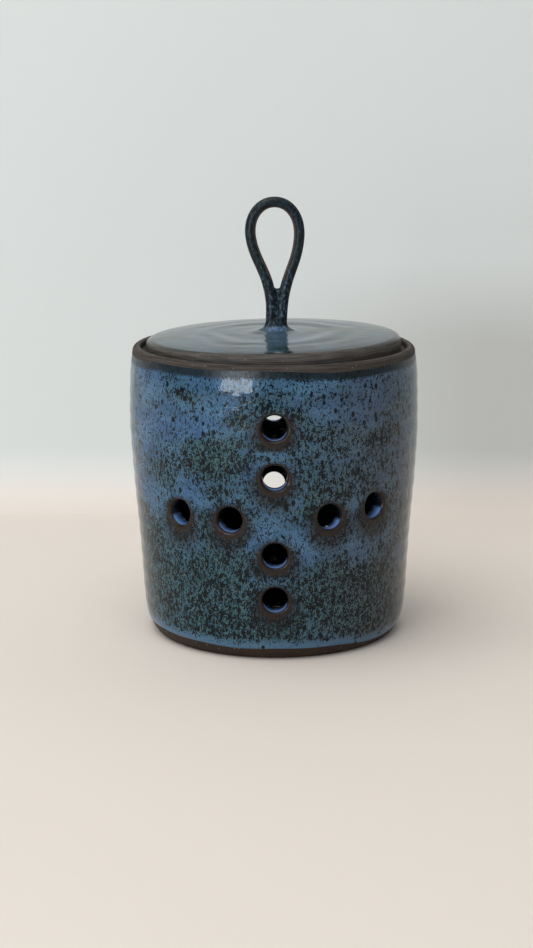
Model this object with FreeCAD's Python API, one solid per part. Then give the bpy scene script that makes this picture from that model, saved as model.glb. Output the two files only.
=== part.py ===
import FreeCAD, Part
import math
import os

# Garlic keeper in stoneware: a wheel-thrown jar with a cross of vent holes on its front and back,
# a thrown disc lid that drops into the gallery inside the jar's rim, and a clay coil bent into
# a teardrop loop, its two legs pressed together and luted to the middle of the lid.
# Millimetres, +Z up, front towards -Y, origin at the centre of the foot where the jar stands.

# Jar, outside
FOOT_FACE_RADIUS = 50.6
FOOT_RING_WIDTH = 6.0
FOOT_RECESS_DEPTH = 1.5
FOOT_EDGE = [(50.6, 0.0), (51.7, 0.6), (52.7, 2.0), (53.3, 4.0)]
# radius and height of the thrown wall, from the foot's edge up to the rim
OUTER_WALL = [(53.3, 4.0), (54.5, 8.5), (55.1, 15.0), (59.2, 69.0), (60.1, 84.0), (60.3, 98.0), (60.0, 110.0),
              (58.9, 119.2)]

# Jar, rim and gallery
RIM_HEIGHT = 121.4
RIM_OUTER_RADIUS = 57.0
RIM_INNER_RADIUS = 56.4
LIP_RADIUS = 55.5
LEDGE_HEIGHT = 118.5
LEDGE_INNER_RADIUS = 50.0
CORNER_SOFTENING = 0.9

# Jar, inside
FLOOR_HEIGHT = 8.5
FLOOR_CORNER_RADIUS = 9.0
FLOOR_CORNER_STEPS = 4
# radius and height of the inner wall, from the gallery's nose down to the floor's corner
INNER_WALL = [(50.0, 115.9), (51.2, 113.0), (53.6, 109.0), (55.0, 103.5), (55.1, 90.0), (54.4, 76.0),
              (48.2, 17.5)]

# Vent holes, cut square to the wall, their outer edges bevelled
VENT_RADIUS = 5.0
VENT_BEVEL = 1.1
VENT_CUT_DEPTH = 14.0
# heights of the upright row and, for the level row, degrees round from the front with the height
UPRIGHT_VENTS = [97.0, 76.9, 44.5, 25.8]
LEVEL_VENTS = [(-41.0, 59.4), (-18.1, 58.9), (22.2, 59.9), (43.5, 61.9)]
BACK_TURN = 180.0
BACK_RISE = 5.8

# Lid
LID_RADIUS = 53.2
LID_EDGE_ROUNDING = 1.4
SEAT_RADIUS = 6.6
SEAT_HEIGHT = 127.3
# radius and height of the lid's top from the handle's seat outwards, with one faint throwing ripple
LID_TOP = [(6.6, 127.3), (9.8, 126.75), (14.0, 126.4), (20.0, 126.3), (27.0, 126.4), (39.0, 125.9),
           (51.8, 124.8)]
LID_SEAT_WIDTH = 6.0
LID_HOLLOW_DEPTH = 1.2
LID_HOLLOW_SLOPE = 4.0

# Handle
COIL_WIDTH = 4.2
COIL_DEPTH = 4.6
# half the distance between the legs' centre lines, the lean of their middle to one side, the height,
# and the heading in degrees outwards from upright
LOOP_SIDE = [(2.05, 1.0, 127.3, 0), (2.15, 1.35, 137.0, 2), (6.3, 1.25, 153.3, 23), (10.1, 0.4, 168.3, 0),
             (0.0, 0.3, 180.3, -90)]
NO_TURN = 1e-6
CROTCH_LEAN = 1.5
WEB_HEIGHT = 145.0
WEB_BOTTOM = 134.0
WEB_HALF_WIDTH = 2.4
WEB_THICKNESS = 2.2
CROTCH_RADIUS = 1.5
# the flared foot of the legs: how far it stands proud of them, and the height
FOOT_FLARE = [(1.6, 127.3), (0.95, 127.9), (0.45, 129.0), (0.1, 130.6), (-0.3, 132.4)]


def point(radius, height):
    return FreeCAD.Vector(radius, 0, height)


def line(start, end):
    return Part.LineSegment(point(*start), point(*end)).toShape()


def slopes(stations):
    """The thrown surface as short straight slopes from each station to the next."""
    return [line(*stations[first:first + 2]) for first in range(len(stations) - 1)]


def rounded_corner(start, corner, end, steps=2):
    """Quarter turn from start to end round a square corner, in a few slopes."""
    centre = (start[0] + end[0] - corner[0], start[1] + end[1] - corner[1])
    stations = []
    for step in range(steps + 1):
        turn = math.pi / 2 * step / steps
        along = [start[axis] - centre[axis] for axis in (0, 1)]
        across = [end[axis] - centre[axis] for axis in (0, 1)]
        stations.append(tuple(centre[axis] + along[axis] * math.cos(turn) + across[axis] * math.sin(turn)
                              for axis in (0, 1)))
    return slopes(stations)


def spun(edges):
    """Solid of revolution about the jar's axis from a closed half profile."""
    face = Part.Face(Part.Wire(edges))
    solid = face.revolve(FreeCAD.Vector(0, 0, 0), FreeCAD.Vector(0, 0, 1), 360)
    return Part.Solid(solid) if solid.ShapeType == "Shell" else solid


def foot_profile():
    ring_start = FOOT_FACE_RADIUS - FOOT_RING_WIDTH
    recess_edge = ring_start - FOOT_RECESS_DEPTH
    return [
        line((0, FOOT_RECESS_DEPTH), (recess_edge, FOOT_RECESS_DEPTH)),
        line((recess_edge, FOOT_RECESS_DEPTH), (ring_start, 0)),
        line((ring_start, 0), (FOOT_FACE_RADIUS, 0)),
        *slopes(FOOT_EDGE),
    ]


def rim_profile():
    wall_end = OUTER_WALL[-1]
    lip_top = (LIP_RADIUS, RIM_HEIGHT - CORNER_SOFTENING)
    lip_foot = (LIP_RADIUS, LEDGE_HEIGHT + CORNER_SOFTENING)
    ledge_back = (LIP_RADIUS - CORNER_SOFTENING, LEDGE_HEIGHT)
    ledge_front = (LEDGE_INNER_RADIUS + CORNER_SOFTENING, LEDGE_HEIGHT)
    nose_top = (LEDGE_INNER_RADIUS, LEDGE_HEIGHT - CORNER_SOFTENING)
    return [
        *rounded_corner(wall_end, (wall_end[0], RIM_HEIGHT), (RIM_OUTER_RADIUS, RIM_HEIGHT)),
        line((RIM_OUTER_RADIUS, RIM_HEIGHT), (RIM_INNER_RADIUS, RIM_HEIGHT)),
        *rounded_corner((RIM_INNER_RADIUS, RIM_HEIGHT), (LIP_RADIUS, RIM_HEIGHT), lip_top),
        line(lip_top, lip_foot),
        *rounded_corner(lip_foot, (LIP_RADIUS, LEDGE_HEIGHT), ledge_back),
        line(ledge_back, ledge_front),
        *rounded_corner(ledge_front, (LEDGE_INNER_RADIUS, LEDGE_HEIGHT), nose_top),
        line(nose_top, INNER_WALL[0]),
    ]


def floor_profile():
    wall_end = INNER_WALL[-1]
    corner = (wall_end[0], FLOOR_HEIGHT)
    floor_edge = (wall_end[0] - FLOOR_CORNER_RADIUS, FLOOR_HEIGHT)
    return [
        *rounded_corner(wall_end, corner, floor_edge, FLOOR_CORNER_STEPS),
        line(floor_edge, (0, FLOOR_HEIGHT)),
        line((0, FLOOR_HEIGHT), (0, FOOT_RECESS_DEPTH)),
    ]


def wall_radius_at(height):
    for (low_radius, low), (high_radius, high) in zip(OUTER_WALL, OUTER_WALL[1:]):
        if low <= height <= high:
            return low_radius + (high_radius - low_radius) * (height - low) / (high - low)


def vent_cutter(azimuth, height):
    """Bore with a bevelled mouth, pointing outwards at azimuth degrees round from the front."""
    surface = wall_radius_at(height)
    mouth_start = surface - VENT_BEVEL
    inside = surface - VENT_CUT_DEPTH
    outside = surface + VENT_BEVEL
    face = Part.Face(Part.Wire(slopes([
        (inside, 0), (inside, VENT_RADIUS), (mouth_start, VENT_RADIUS),
        (outside, VENT_RADIUS + 2 * VENT_BEVEL), (outside, 0), (inside, 0),
    ])))
    cutter = face.revolve(FreeCAD.Vector(0, 0, 0), FreeCAD.Vector(1, 0, 0), 360)
    cutter.translate(FreeCAD.Vector(0, 0, height))
    cutter.rotate(FreeCAD.Vector(0, 0, 0), FreeCAD.Vector(0, 0, 1), azimuth - 90)
    return cutter


def vent_places():
    """The front cross of vents, and the same cross again on the back, cut a little higher."""
    front = [(0.0, height) for height in UPRIGHT_VENTS] + LEVEL_VENTS
    back = [(BACK_TURN + azimuth, height + BACK_RISE) for azimuth, height in front]
    return front + back


def make_jar():
    jar = spun(foot_profile() + slopes(OUTER_WALL) + rim_profile() + slopes(INNER_WALL) + floor_profile())
    return jar.cut([vent_cutter(azimuth, height) for azimuth, height in vent_places()])


def make_lid():
    under = LEDGE_HEIGHT
    edge_top = LID_TOP[-1]
    side_top = (LID_RADIUS, edge_top[1] - LID_EDGE_ROUNDING)
    side_foot = (LID_RADIUS, under + CORNER_SOFTENING)
    under_edge = (LID_RADIUS - CORNER_SOFTENING, under)
    hollow_edge = (under_edge[0] - LID_SEAT_WIDTH, under)
    hollow_start = (hollow_edge[0] - LID_HOLLOW_SLOPE, under + LID_HOLLOW_DEPTH)
    return spun([
        line((0, SEAT_HEIGHT), (SEAT_RADIUS, SEAT_HEIGHT)),
        *slopes(LID_TOP),
        *rounded_corner(edge_top, (LID_RADIUS, edge_top[1]), side_top),
        line(side_top, side_foot),
        *rounded_corner(side_foot, (LID_RADIUS, under), under_edge),
        line(under_edge, hollow_edge),
        line(hollow_edge, hollow_start),
        line(hollow_start, (0, hollow_start[1])),
        line((0, hollow_start[1]), (0, SEAT_HEIGHT)),
    ])


def coil_section(centre_x, height):
    """Rolled coil, a little deeper than wide, as a closed wire lying level round the leg's centre line."""
    x = COIL_WIDTH / 2
    y = COIL_DEPTH / 2 - x

    def place(dx, dy):
        return FreeCAD.Vector(centre_x + dx, dy, height)

    return Part.Wire([
        Part.LineSegment(place(x, -y), place(x, y)).toShape(),
        Part.Arc(place(x, y), place(0, COIL_DEPTH / 2), place(-x, y)).toShape(),
        Part.LineSegment(place(-x, y), place(-x, -y)).toShape(),
        Part.Arc(place(-x, -y), place(0, -COIL_DEPTH / 2), place(x, -y)).toShape(),
    ])


def arc_leaving(start, direction, end):
    """Arc from start, setting off along direction, to end."""
    chord = end - start
    along = FreeCAD.Vector(chord).normalize()
    swing = direction - along * direction.dot(along)
    if swing.Length < NO_TURN:
        return Part.LineSegment(start, end).toShape()
    half_turn = math.atan2(swing.Length, direction.dot(along))
    bulge = swing.normalize() * (chord.Length / 2 * math.tan(half_turn / 2))
    return Part.Arc(start, (start + end) / 2 + bulge, end).toShape()


def biarc(start, start_way, end, end_way):
    """Two arcs that meet smoothly and keep the directions at both ends."""
    gap = end - start
    ways = start_way + end_way
    square = 2 * (1 - start_way.dot(end_way))
    cross = 2 * gap.dot(ways)
    if square < NO_TURN:
        reach = gap.dot(gap) / cross
    else:
        reach = (math.sqrt(cross * cross + 4 * square * gap.dot(gap)) - cross) / (2 * square)
    meeting = (start + end + (start_way - end_way) * reach) / 2
    return [arc_leaving(start, start_way, meeting), arc_leaving(end, end_way * -1, meeting)]


def loop_half(side):
    places = [point(lean + side * half, height) for half, lean, height, _ in LOOP_SIDE]
    turns = [math.radians(heading) for _, _, _, heading in LOOP_SIDE]
    ways = [point(side * math.sin(turn), math.cos(turn)) for turn in turns]
    route = []
    for k in range(len(places) - 1):
        route += biarc(places[k], ways[k], places[k + 1], ways[k + 1])
    section = coil_section(places[0].x, places[0].z)
    return Part.Wire(route).makePipeShell([section], True, False)


def crotch_web():
    """Clay and glaze caught between the legs where they part, hollowed on top."""
    web = Part.makeBox(2 * WEB_HALF_WIDTH, WEB_THICKNESS, WEB_HEIGHT - WEB_BOTTOM)
    web.translate(FreeCAD.Vector(CROTCH_LEAN - WEB_HALF_WIDTH, -WEB_THICKNESS / 2, WEB_BOTTOM))
    hollow = Part.makeCylinder(CROTCH_RADIUS, 2 * WEB_THICKNESS,
                               FreeCAD.Vector(CROTCH_LEAN, -WEB_THICKNESS, WEB_HEIGHT + CROTCH_RADIUS / 2),
                               FreeCAD.Vector(0, 1, 0))
    return web.cut(hollow)


def flared_foot():
    leg, lean, _, _ = LOOP_SIDE[0]
    rings = []
    for proud, height in FOOT_FLARE:
        ring = Part.Ellipse(FreeCAD.Vector(lean, 0, height), leg + COIL_WIDTH / 2 + proud,
                            COIL_DEPTH / 2 + proud)
        rings.append(Part.Wire(ring.toShape()))
    return Part.makeLoft(rings, True, True)


def make_handle():
    return loop_half(-1).fuse([loop_half(1), crotch_web(), flared_foot()]).removeSplitter()


def write(name, shape):
    solids = shape.Solids
    print(name, "valid", shape.isValid(), "solids", len(solids), "cm3", round(shape.Volume / 1000, 2),
          "box", [round(value, 2) for value in (shape.BoundBox.XMin, shape.BoundBox.XMax,
                                                shape.BoundBox.YMin, shape.BoundBox.YMax,
                                                shape.BoundBox.ZMin, shape.BoundBox.ZMax)])
    solids[0].exportStep("parts/" + name + ".step")


os.makedirs("parts", exist_ok=True)
write("jar", make_jar())
write("lid", make_lid())
write("lid_handle", make_handle())
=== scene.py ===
# %% [markdown]
# A garlic keeper is a small vented stoneware jar with a loose lid. Three forms make it: a jar thrown on the
# wheel, a flat thrown lid, and a clay coil bent into a loop. The imported model gives their size and place,
# so this lesson starts by loading it. Everything after this is finish and fine shape.

# %% load the frame
import math

import bmesh
import bpy
import numpy as np
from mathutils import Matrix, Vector


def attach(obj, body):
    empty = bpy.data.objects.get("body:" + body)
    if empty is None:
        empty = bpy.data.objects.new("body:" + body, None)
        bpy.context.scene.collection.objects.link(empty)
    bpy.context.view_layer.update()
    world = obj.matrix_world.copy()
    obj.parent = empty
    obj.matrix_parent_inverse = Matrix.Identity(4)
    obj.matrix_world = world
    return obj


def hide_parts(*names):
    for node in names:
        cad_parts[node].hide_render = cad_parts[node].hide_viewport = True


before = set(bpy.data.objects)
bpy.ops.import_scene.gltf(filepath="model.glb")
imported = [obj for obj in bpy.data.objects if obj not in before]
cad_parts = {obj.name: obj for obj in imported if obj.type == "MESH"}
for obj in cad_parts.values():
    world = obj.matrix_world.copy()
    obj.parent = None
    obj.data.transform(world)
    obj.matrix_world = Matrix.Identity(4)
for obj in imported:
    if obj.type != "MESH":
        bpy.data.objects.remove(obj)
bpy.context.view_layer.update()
MM = 0.001
SCENE = bpy.context.scene


def placed(name, data):
    """A new object that is already in the scene."""
    piece = bpy.data.objects.new(name, data)
    SCENE.collection.objects.link(piece)
    return piece


def new_mesh(name, places, faces):
    mesh = bpy.data.meshes.new(name)
    mesh.from_pydata(places, [], faces)
    return mesh


# %% [markdown]
# The camera stands a little above the rim and looks down about twelve degrees, as a person at the worktop
# does. A long lens keeps the jar's sides nearly upright. Where the rim and foot ellipses lie fixes all of it.

# %% camera
CAMERA_PLACE = (-3.0 * MM, -860.0 * MM, 253.5 * MM)
CAMERA_PITCH = 12.32
CAMERA_LENS = 78.99

camera_data = bpy.data.cameras.new("keeper_camera")
camera_data.lens = CAMERA_LENS
camera_data.sensor_width = 36.0
camera_data.clip_start = 0.01
camera = placed("keeper_camera", camera_data)
camera.location = CAMERA_PLACE
camera.rotation_euler = (math.radians(90.0 - CAMERA_PITCH), 0.0, 0.0)
SCENE.camera = camera
SCENE.view_settings.view_transform = "Standard"
print("camera looks down", CAMERA_PITCH, "degrees")

# %% [markdown]
# Nodes read better when they are built by a few small helpers. One adds a node and fills its sockets, and the
# others make the sums, blends and soft thresholds that every glaze below is made of. A socket knows the tree
# that it belongs to, so most helpers need only be given sockets and numbers.

# %% node helpers
GLAZE_SPECULAR = 0.22


def add(tree, kind, settings=None, **sockets):
    """Add a node, set its properties, then fill or link the named sockets."""
    node = tree.nodes.new(kind)
    for name, value in (settings or {}).items():
        setattr(node, name, value)
    for name, value in sockets.items():
        plug(node.inputs[name.replace("_", " ")], value)
    return node


def plug(socket, value):
    if isinstance(value, bpy.types.NodeSocket):
        socket.id_data.links.new(value, socket)
    else:
        socket.default_value = value


def add_beside(values, kind):
    """Add a node to the tree that the first socket among the values belongs to."""
    tree = next(value.id_data for value in values if isinstance(value, bpy.types.NodeSocket))
    return tree.nodes.new(kind)


def calc(operation, first, second=0.0):
    node = add_beside((first, second), "ShaderNodeMath")
    node.operation = operation
    plug(node.inputs[0], first)
    plug(node.inputs[1], second)
    return node.outputs[0]


def times(first, second):
    return calc("MULTIPLY", first, second)


def plus(first, second):
    return calc("ADD", first, second)


def about_zero(value, reach):
    """Noise between 0 and 1 made to swing as far below zero as above it."""
    return times(calc("SUBTRACT", value, 0.5), reach)


def blend(factor, first, second):
    node = add_beside((factor, first, second), "ShaderNodeMix")
    node.data_type = "RGBA"
    for place, value in zip((0, 6, 7), (factor, first, second)):
        plug(node.inputs[place], value)
    return node.outputs[2]


def coats(colour, *layers):
    """Lay more colours over one, each where its mask says and at most by its share."""
    for over, mask, share in layers:
        colour = blend(times(mask, share), colour, over)
    return colour


def soft_step(value, start, end, low=0.0, high=1.0):
    node = add_beside([value], "ShaderNodeMapRange")
    node.interpolation_type = "SMOOTHSTEP"
    for place, number in enumerate((value, start, end, low, high)):
        plug(node.inputs[place], number)
    return node.outputs[0]


def noise(vector, size, detail=2.0, roughness=0.5):
    """Noise whose blotches are about size units across."""
    return add(vector.id_data, "ShaderNodeTexNoise", Vector=vector, Scale=1.0 / size, Detail=detail,
               Roughness=roughness).outputs[0]


def stretched(vector, scale, shift=(0.0, 0.0, 0.0)):
    return add(vector.id_data, "ShaderNodeMapping", Vector=vector, Location=shift, Scale=scale).outputs[0]


def axes(vector):
    return add(vector.id_data, "ShaderNodeSeparateXYZ", Vector=vector).outputs


def srgb(red, green, blue):
    """A colour as a paint chart gives it, 0 to 255, made linear for the shader."""
    parts = []
    for channel in (red, green, blue):
        share = channel / 255.0
        parts.append(share / 12.92 if share <= 0.04045 else ((share + 0.055) / 1.055) ** 2.4)
    return (*parts, 1.0)


def attribute(tree, name):
    return add(tree, "ShaderNodeAttribute", {"attribute_name": name}).outputs["Fac"]


def surface_material(name):
    material = bpy.data.materials.new(name)
    material.use_nodes = True
    tree = material.node_tree
    shader = tree.nodes["Principled BSDF"]
    shader.inputs["Specular IOR Level"].default_value = GLAZE_SPECULAR
    return material, tree, shader


print("node helpers ready, glaze specular", GLAZE_SPECULAR)

# %% [markdown]
# The stage is plain: a wide pale floor and a pale wall close behind the jar. A glossy pot shows its
# surroundings, so the near wall matters: it gives the pale line down each side and the sheen on the lid. The
# wall lets a camera behind it look through, by way of Backfacing, so that the jar's back can be seen too.

# %% stage
WALL_DISTANCE = 227.0 * MM
WALL_HALF_WIDTH = 1.6
FLOOR_HALF_WIDTH = 4.0
WALL_TOP = 1.5
SWEEP_RADIUS = 30.0 * MM
SWEEP_STEPS = 12
FLOOR_DROP = 0.05 * MM
FLOOR_COLOUR = srgb(222, 211, 200)
WALL_COLOUR = srgb(217, 220, 217)
CHALK_GREY = srgb(190, 188, 184)
CHALK_SIZE = 0.02
STAGE_ROUGHNESS = 0.7


def stage_piece(name, rows, half_width, colour, drop):
    """A sheet swept sideways from a line of (y, z) places, facing forwards and up."""
    places = [(side * half_width, y, z - drop) for y, z in rows for side in (-1, 1)]
    faces = [(2 * k, 2 * k + 1, 2 * k + 3, 2 * k + 2) for k in range(len(rows) - 1)]
    mesh = new_mesh(name, places, faces)
    mesh.shade_smooth()
    piece = placed(name, mesh)
    material, tree, shader = surface_material(name)
    place = add(tree, "ShaderNodeTexCoord").outputs["Object"]
    height = axes(place)["Z"]
    share = soft_step(height, 0.0, SWEEP_RADIUS)
    chalk = noise(place, CHALK_SIZE, 3.0)
    painted = blend(share, FLOOR_COLOUR, colour)
    plug(shader.inputs["Base Color"], coats(painted, (CHALK_GREY, chalk, 0.03)))
    shader.inputs["Roughness"].default_value = STAGE_ROUGHNESS
    mesh.materials.append(material)
    return piece, tree, shader


def see_through_from_behind(tree, shader):
    behind = add(tree, "ShaderNodeNewGeometry").outputs["Backfacing"]
    seen = add(tree, "ShaderNodeLightPath").outputs["Is Camera Ray"]
    clear = add(tree, "ShaderNodeBsdfTransparent")
    mixed = add(tree, "ShaderNodeMixShader")
    plug(mixed.inputs[0], times(behind, seen))
    plug(mixed.inputs[1], shader.outputs[0])
    plug(mixed.inputs[2], clear.outputs[0])
    plug(tree.nodes["Material Output"].inputs["Surface"], mixed.outputs[0])


def make_stage():
    stage_piece("pale_floor", [(-FLOOR_HALF_WIDTH, 0.0), (FLOOR_HALF_WIDTH, 0.0)], FLOOR_HALF_WIDTH,
                FLOOR_COLOUR, 2 * FLOOR_DROP)
    rows = [(WALL_DISTANCE - 2 * SWEEP_RADIUS, 0.0)]
    for step in range(SWEEP_STEPS + 1):
        turn = math.pi / 2 * step / SWEEP_STEPS
        rows.append((WALL_DISTANCE - SWEEP_RADIUS + SWEEP_RADIUS * math.sin(turn),
                     SWEEP_RADIUS - SWEEP_RADIUS * math.cos(turn)))
    rows.append((WALL_DISTANCE, WALL_TOP))
    wall, tree, shader = stage_piece("pale_wall", rows, WALL_HALF_WIDTH, WALL_COLOUR, FLOOR_DROP)
    wall.visible_shadow = False
    see_through_from_behind(tree, shader)


make_stage()
print("stage: floor", 2 * FLOOR_HALF_WIDTH, "m wide, wall", WALL_DISTANCE, "m behind the jar's middle")

# %% [markdown]
# Soft daylight: a broad window to the left of the camera, low enough to show as a small bright patch just
# under the rim, a wide weak lamp above, and an even pale world. Plain levels keep each colour as written.

# %% lights
WINDOW_TURN = -29.0
WINDOW_RISE = 6.5
WINDOW_DISTANCE = 1.3
WINDOW_SIZE = (0.62, 0.26)
WINDOW_POWER = 7.0
OVERHEAD_PLACE = (-0.5, -0.6, 1.9)
OVERHEAD_SIZE = (2.2, 1.6)
OVERHEAD_POWER = 31.0
WORLD_COLOUR = (0.86, 0.92, 1.0, 1.0)
DAYLIGHT = (0.86, 0.94, 1.0)
PLAIN_WHITE = (1.0, 1.0, 1.0)
WORLD_STRENGTH = 0.34
AIM = Vector((0.0, 0.0, 0.08))


def soft_lamp(name, place, size, power, colour):
    data = bpy.data.lights.new(name, "AREA")
    data.shape = "RECTANGLE"
    data.size, data.size_y = size
    data.energy = power
    data.color = colour
    lamp = placed(name, data)
    lamp.location = place
    lamp.rotation_euler = (AIM - Vector(place)).to_track_quat("-Z", "Y").to_euler()


turn, rise = math.radians(WINDOW_TURN), math.radians(WINDOW_RISE)
window_place = (math.sin(turn) * math.cos(rise) * WINDOW_DISTANCE,
                -math.cos(turn) * math.cos(rise) * WINDOW_DISTANCE,
                math.sin(rise) * WINDOW_DISTANCE + AIM.z)
soft_lamp("window_light", window_place, WINDOW_SIZE, WINDOW_POWER, DAYLIGHT)
soft_lamp("overhead_light", OVERHEAD_PLACE, OVERHEAD_SIZE, OVERHEAD_POWER, PLAIN_WHITE)
world = bpy.data.worlds.new("pale_room")
world.use_nodes = True
sky = world.node_tree.nodes["Background"]
sky.inputs["Color"].default_value = WORLD_COLOUR
sky.inputs["Strength"].default_value = WORLD_STRENGTH
SCENE.world = world
print("window light at", [round(part, 2) for part in window_place], "m")

# %% [markdown]
# A thrown pot is a line spun round the wheel's axis. The line is written as a few stations, and a smooth
# curve is drawn through them. Rows lie closer together where the glaze ends, so its edge can have a step.

# %% spinning a profile
SEGMENTS = 288


def smooth_line(stations, spacing):
    """Points about spacing apart on a smooth curve through the stations, all in millimetres."""
    points = [np.array(station, float) for station in stations]
    ends = [2 * points[0] - points[1]] + points + [2 * points[-1] - points[-2]]
    line = []
    for before, start, end, after in zip(ends, ends[1:], ends[2:], ends[3:]):
        steps = max(1, int(round(np.linalg.norm(end - start) / spacing)))
        for t in np.arange(steps) / steps:
            line.append(0.5 * (2 * start + (end - before) * t
                               + (2 * before - 5 * start + 4 * end - after) * t ** 2
                               + (3 * start - before - 3 * end + after) * t ** 3))
    return line + [points[-1]]


def round_corner(corner, start, end, steps=5):
    """Quarter turn from start to end, bulging to the corner."""
    corner, start, end = (np.array(p, float) for p in (corner, start, end))
    centre = start + end - corner
    turns = [math.pi / 2 * step / steps for step in range(steps + 1)]
    return [centre + (start - centre) * math.cos(t) + (end - centre) * math.sin(t) for t in turns]


def joined(*lines):
    """One line of points without the doubled ends."""
    out = []
    for line in lines:
        for place in line:
            if not out or np.linalg.norm(place - out[-1]) > 1e-4:
                out.append(np.array(place, float))
    return out


def face_outwards(mesh):
    form = bmesh.new()
    form.from_mesh(mesh)
    bmesh.ops.recalc_face_normals(form, faces=form.faces)
    form.to_mesh(mesh)
    form.free()


def spin(name, line):
    """Closed mesh from a half profile that starts and ends on the axis."""
    angles = np.arange(SEGMENTS) * 2 * math.pi / SEGMENTS
    ring = np.stack([np.cos(angles), np.sin(angles)], 1)
    inner = [place for place in line if place[0] > 1e-6]
    places = [np.column_stack([ring * radius, np.full(SEGMENTS, height)]) for radius, height in inner]
    poles = np.array([[0, 0, line[0][1]], [0, 0, line[-1][1]]])
    places = np.concatenate(places + [poles]) * MM
    faces = []
    turns = np.arange(SEGMENTS)
    after = (turns + 1) % SEGMENTS
    for row in range(len(inner) - 1):
        low, high = row * SEGMENTS, (row + 1) * SEGMENTS
        faces += np.stack([low + turns, low + after, high + after, high + turns], 1).tolist()
    first, last = len(inner) * SEGMENTS, len(inner) * SEGMENTS + 1
    top = (len(inner) - 1) * SEGMENTS
    faces += np.stack([np.full(SEGMENTS, first), after, turns], 1).tolist()
    faces += np.stack([np.full(SEGMENTS, last), top + turns, top + after], 1).tolist()
    mesh = new_mesh(name, places.tolist(), faces)
    face_outwards(mesh)
    print(name, "spun with", len(faces), "faces")
    return placed(name, mesh)


def places_of(mesh):
    """Every vertex as a row of x, y and z in millimetres."""
    co = np.empty(len(mesh.vertices) * 3)
    mesh.vertices.foreach_get("co", co)
    return co.reshape(-1, 3) / MM


def frozen(piece, name):
    """A plain mesh of the piece as its modifiers leave it."""
    evaluated = piece.evaluated_get(bpy.context.evaluated_depsgraph_get())
    mesh = bpy.data.meshes.new_from_object(evaluated)
    mesh.name = name
    return mesh


def reshape(mesh, move):
    """Pass every vertex, in millimetres, through a function and write it back."""
    mesh.vertices.foreach_set("co", (move(places_of(mesh)) * MM).ravel())
    mesh.update()


def mark(mesh, name, values):
    """Write one number on each vertex, for a material to read."""
    layer = mesh.attributes.new(name, "FLOAT", "POINT")
    layer.data.foreach_set("value", np.asarray(values, np.float32))


def polar(co):
    """How far each vertex is from the axis, and its angle round it."""
    return np.hypot(co[:, 0], co[:, 1]), np.arctan2(co[:, 1], co[:, 0])


def ramp(values, start, end):
    share = np.clip((values - start) / (end - start), 0, 1)
    return share * share * (3 - 2 * share)

# %% [markdown]
# The jar's line starts in the middle of the floor inside, climbs the wall, steps out over the gallery where
# the lid rests, rounds the rim, comes down the slightly bellied outside and turns under into the foot ring.

# %% jar profile
RIM_TOP = 121.4
LIP_RADIUS = 55.5
LEDGE = 118.5
LEDGE_RADIUS = 50.0
FLOOR_INSIDE = 8.5
FLOOR_CORNER_START = (39.2, FLOOR_INSIDE)
FLOOR_CORNER_END = (48.2, 17.5)
FOOT_RECESS = 1.5
RIM_SHOULDER = (58.95, 118.9)
OUTER_WALL = [RIM_SHOULDER, (60.0, 110.0), (60.3, 98.0), (60.1, 84.0), (59.2, 69.0), (57.75, 50.0),
              (56.4, 31.0), (55.3, 15.0), (54.5, 8.5), (53.9, 6.2)]
FOOT_EDGE = 49.4
FOOT_INSIDE = 44.6
FOOT_SIDE = [(53.9, 6.2), (53.2, 4.4), (52.2, 2.6), (50.9, 1.0), (FOOT_EDGE, 0.0)]
INNER_WALL = [FLOOR_CORNER_END, (49.9, 34.0), (52.2, 54.0), (54.4, 76.0), (55.1, 92.0), (55.0, 103.5),
              (53.6, 109.0), (51.2, 113.0), (50.0, 115.9)]

jar_line = joined(
    smooth_line([(0.0, FLOOR_INSIDE), (20.0, FLOOR_INSIDE), FLOOR_CORNER_START], 3.0),
    round_corner((48.2, FLOOR_INSIDE), FLOOR_CORNER_START, FLOOR_CORNER_END, 8),
    smooth_line(INNER_WALL, 1.6),
    smooth_line([(LEDGE_RADIUS, 115.9), (LEDGE_RADIUS, 117.7)], 0.9),
    round_corner((LEDGE_RADIUS, LEDGE), (LEDGE_RADIUS, 117.7), (LEDGE_RADIUS + 0.8, LEDGE)),
    round_corner((LIP_RADIUS, LEDGE), (LIP_RADIUS - 0.8, LEDGE), (LIP_RADIUS, LEDGE + 0.8)),
    round_corner((LIP_RADIUS, RIM_TOP), (LIP_RADIUS, RIM_TOP - 1.0), (LIP_RADIUS + 1.0, RIM_TOP), 6),
    round_corner((58.95, RIM_TOP), (56.7, RIM_TOP), RIM_SHOULDER, 9),
    smooth_line(OUTER_WALL, 1.4),
    smooth_line(FOOT_SIDE, 0.28),
    smooth_line([(FOOT_EDGE, 0.0), (FOOT_INSIDE, 0.0)], 2.0),
    smooth_line([(FOOT_INSIDE, 0.0), (43.1, FOOT_RECESS)], 0.8),
    smooth_line([(43.1, FOOT_RECESS), (20.0, FOOT_RECESS), (0.0, FOOT_RECESS)], 4.0),
)
print("jar profile has", len(jar_line), "points")

# %% [markdown]
# The glaze stops a little above the foot in a wavy line, where the potter wiped it, and stands slightly proud
# of the clay there. Near the rim it runs thin. These same wavy lines shape the mesh here and colour it later.

# %% glaze lines and the wheel's lean
GLAZE_FOOT_LINE = 5.0
GLAZE_STEP = 0.22
STEP_SOFTNESS = 0.3
STEP_FADE = (8, 12)
STEP_INNERMOST, STEP_LOWEST = 50.5, 0.8
LEAN_AT_FOOT = 0.6


def lean_at(height):
    """How far to the right the middle of the slightly leaning wall stands."""
    return LEAN_AT_FOOT * (1 - height / RIM_TOP)


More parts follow.
